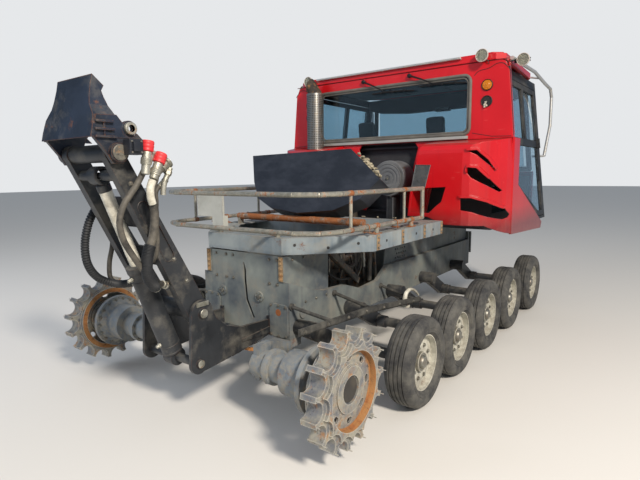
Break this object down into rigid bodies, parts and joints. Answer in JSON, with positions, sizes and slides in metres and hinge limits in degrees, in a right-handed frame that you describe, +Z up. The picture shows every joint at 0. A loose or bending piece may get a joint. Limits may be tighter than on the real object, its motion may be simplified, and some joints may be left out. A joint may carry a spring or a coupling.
{
  "type": "tracked snow groomer",
  "caption": "Snow groomer parked without tracks or tools: open hull, toothed drive sprockets, road wheels, rear lift arm with hydraulic cylinder and red cab.",
  "frame": {"origin": "middle of the footprint of the whole vehicle, on the ground under its tyres", "axes": "+X forward, +Y to the vehicle's left, +Z up"},
  "size_m": [5.785, 2.9636, 2.918],
  "materials": {
    "hull_paint": "dark grey paint, worn and muddy",
    "engine_iron": "oily cast iron",
    "deck_paint": "blue-grey paint, weathered",
    "galvanised": "galvanised steel with rust",
    "box_paint": "light grey paint",
    "black_plastic": "matt black plastic",
    "grey_plastic": "light grey plastic",
    "stainless": "heat-tinted steel",
    "bare_steel": "bare worn steel with rust",
    "black_rubber": "weathered rubber",
    "black_paint": "black paint, chipped",
    "cab_lining": "dark lining",
    "red_paint": "bright red paint",
    "window_glass": "clear glass",
    "seat_cloth": "dark grey cloth",
    "lamp_body": "lamp shells with clear lenses",
    "amber_lens": "amber lens",
    "tyre_rubber": "worn tyre rubber",
    "rim_paint": "pale grey paint",
    "head_paint": "dark blue paint, scratched",
    "sleeve_white": "white cover"
  },
  "bodies": {
    "chassis": {"hull_body": "hull_paint", "engine_block": "engine_iron", "deck_frame": "deck_paint", "deck_rail": "galvanised", "deck_box": "box_paint", "engine_hood": "black_plastic", "air_cleaner": "grey_plastic", "exhaust_stack": "stainless", "final_drives": "bare_steel", "wheel_arms": "black_paint", "mud_strips": "black_rubber", "rear_bracket": "black_paint", "front_carrier": "black_paint", "cab_tub": "cab_lining", "cab_rear_wall": "red_paint", "rear_glass": "window_glass", "cab_roof": "red_paint", "quarter_panel_left": "red_paint", "quarter_panel_right": "red_paint", "door_frames": "black_paint", "cab_nose": "red_paint", "screen_frame": "black_paint", "windscreen": "window_glass", "seats": "seat_cloth", "console": "cab_lining", "rear_wipers": "black_plastic", "grab_tubes": "galvanised", "work_lamps": "lamp_body", "signal_lamps": "amber_lens"},
    "sprocket_left": {"sprocket_left": "bare_steel"},
    "sprocket_right": {"sprocket_right": "bare_steel"},
    "wheel_left_1": {"tyre_left_1": "tyre_rubber", "rim_left_1": "rim_paint"},
    "wheel_left_2": {"tyre_left_2": "tyre_rubber", "rim_left_2": "rim_paint"},
    "wheel_left_3": {"tyre_left_3": "tyre_rubber", "rim_left_3": "rim_paint"},
    "wheel_left_4": {"tyre_left_4": "tyre_rubber", "rim_left_4": "rim_paint"},
    "wheel_left_5": {"tyre_left_5": "tyre_rubber", "rim_left_5": "rim_paint"},
    "wheel_right_1": {"tyre_right_1": "tyre_rubber", "rim_right_1": "rim_paint"},
    "wheel_right_2": {"tyre_right_2": "tyre_rubber", "rim_right_2": "rim_paint"},
    "wheel_right_3": {"tyre_right_3": "tyre_rubber", "rim_right_3": "rim_paint"},
    "wheel_right_4": {"tyre_right_4": "tyre_rubber", "rim_right_4": "rim_paint"},
    "wheel_right_5": {"tyre_right_5": "tyre_rubber", "rim_right_5": "rim_paint"},
    "door_left": {"door_left": "black_paint", "door_glass_left": "window_glass"},
    "door_right": {"door_right": "black_paint", "door_glass_right": "window_glass"},
    "lift_arm": {"lift_arm": "black_paint", "arm_hoses": "black_rubber"},
    "lift_head": {"lift_head": "head_paint"},
    "lift_barrel": {"lift_barrel": "black_paint"},
    "lift_rod": {"lift_rod": "sleeve_white"}
  },
  "joints": [
    {"name": "sprocket_left_spin", "type": "hinge", "parent": "chassis", "child": "sprocket_left", "pos_m": [-2.0075, 1.27, 0.447], "axis": [0, 1, 0], "continuous": true},
    {"name": "sprocket_right_spin", "type": "hinge", "parent": "chassis", "child": "sprocket_right", "pos_m": [-2.0075, -1.27, 0.447], "axis": [0, 1, 0], "continuous": true},
    {"name": "wheel_left_1_spin", "type": "hinge", "parent": "chassis", "child": "wheel_left_1", "pos_m": [-1.1185, 1.3195, 0.334], "axis": [0, 1, 0], "continuous": true},
    {"name": "wheel_left_2_spin", "type": "hinge", "parent": "chassis", "child": "wheel_left_2", "pos_m": [-0.4185, 1.3195, 0.334], "axis": [0, 1, 0], "continuous": true},
    {"name": "wheel_left_3_spin", "type": "hinge", "parent": "chassis", "child": "wheel_left_3", "pos_m": [0.3445, 1.3195, 0.334], "axis": [0, 1, 0], "continuous": true},
    {"name": "wheel_left_4_spin", "type": "hinge", "parent": "chassis", "child": "wheel_left_4", "pos_m": [1.1135, 1.3195, 0.334], "axis": [0, 1, 0], "continuous": true},
    {"name": "wheel_left_5_spin", "type": "hinge", "parent": "chassis", "child": "wheel_left_5", "pos_m": [2.0335, 1.3195, 0.334], "axis": [0, 1, 0], "continuous": true},
    {"name": "wheel_right_1_spin", "type": "hinge", "parent": "chassis", "child": "wheel_right_1", "pos_m": [-1.1185, -1.3195, 0.334], "axis": [0, 1, 0], "continuous": true},
    {"name": "wheel_right_2_spin", "type": "hinge", "parent": "chassis", "child": "wheel_right_2", "pos_m": [-0.4185, -1.3195, 0.334], "axis": [0, 1, 0], "continuous": true},
    {"name": "wheel_right_3_spin", "type": "hinge", "parent": "chassis", "child": "wheel_right_3", "pos_m": [0.3445, -1.3195, 0.334], "axis": [0, 1, 0], "continuous": true},
    {"name": "wheel_right_4_spin", "type": "hinge", "parent": "chassis", "child": "wheel_right_4", "pos_m": [1.1135, -1.3195, 0.334], "axis": [0, 1, 0], "continuous": true},
    {"name": "wheel_right_5_spin", "type": "hinge", "parent": "chassis", "child": "wheel_right_5", "pos_m": [2.0335, -1.3195, 0.334], "axis": [0, 1, 0], "continuous": true},
    {"name": "door_left_hinge", "type": "hinge", "parent": "chassis", "child": "door_left", "pos_m": [1.1525, 1.3, 2.02], "axis": [0, -0.1167, 0.9932], "range_deg": [0, 75]},
    {"name": "door_right_hinge", "type": "hinge", "parent": "chassis", "child": "door_right", "pos_m": [1.1525, -1.3, 2.02], "axis": [0, -0.1167, -0.9932], "range_deg": [0, 75]},
    {"name": "arm_lift", "type": "hinge", "parent": "chassis", "child": "lift_arm", "pos_m": [-2.2075, 0, 0.78], "axis": [0, -1, 0], "range_deg": [0, 50]},
    {"name": "head_tilt", "type": "hinge", "parent": "lift_arm", "child": "lift_head", "pos_m": [-2.7425, 0, 1.825], "axis": [0, -1, 0], "range_deg": [-20, 25]},
    {"name": "barrel_swing", "type": "hinge", "parent": "chassis", "child": "lift_barrel", "pos_m": [-2.2475, 0, 0.44], "axis": [0, -1, 0], "range_deg": [0, 41]},
    {"name": "rod_slide", "type": "slide", "parent": "lift_barrel", "child": "lift_rod", "axis": [-0.3429, 0, 0.9394], "range_m": [-0.205, 0]}
  ],
  "couplings": [
    {"joint": "barrel_swing", "follows": "arm_lift", "ratio": 0.807},
    {"joint": "rod_slide", "follows": "arm_lift", "m_per_rad": -0.2301}
  ]
}
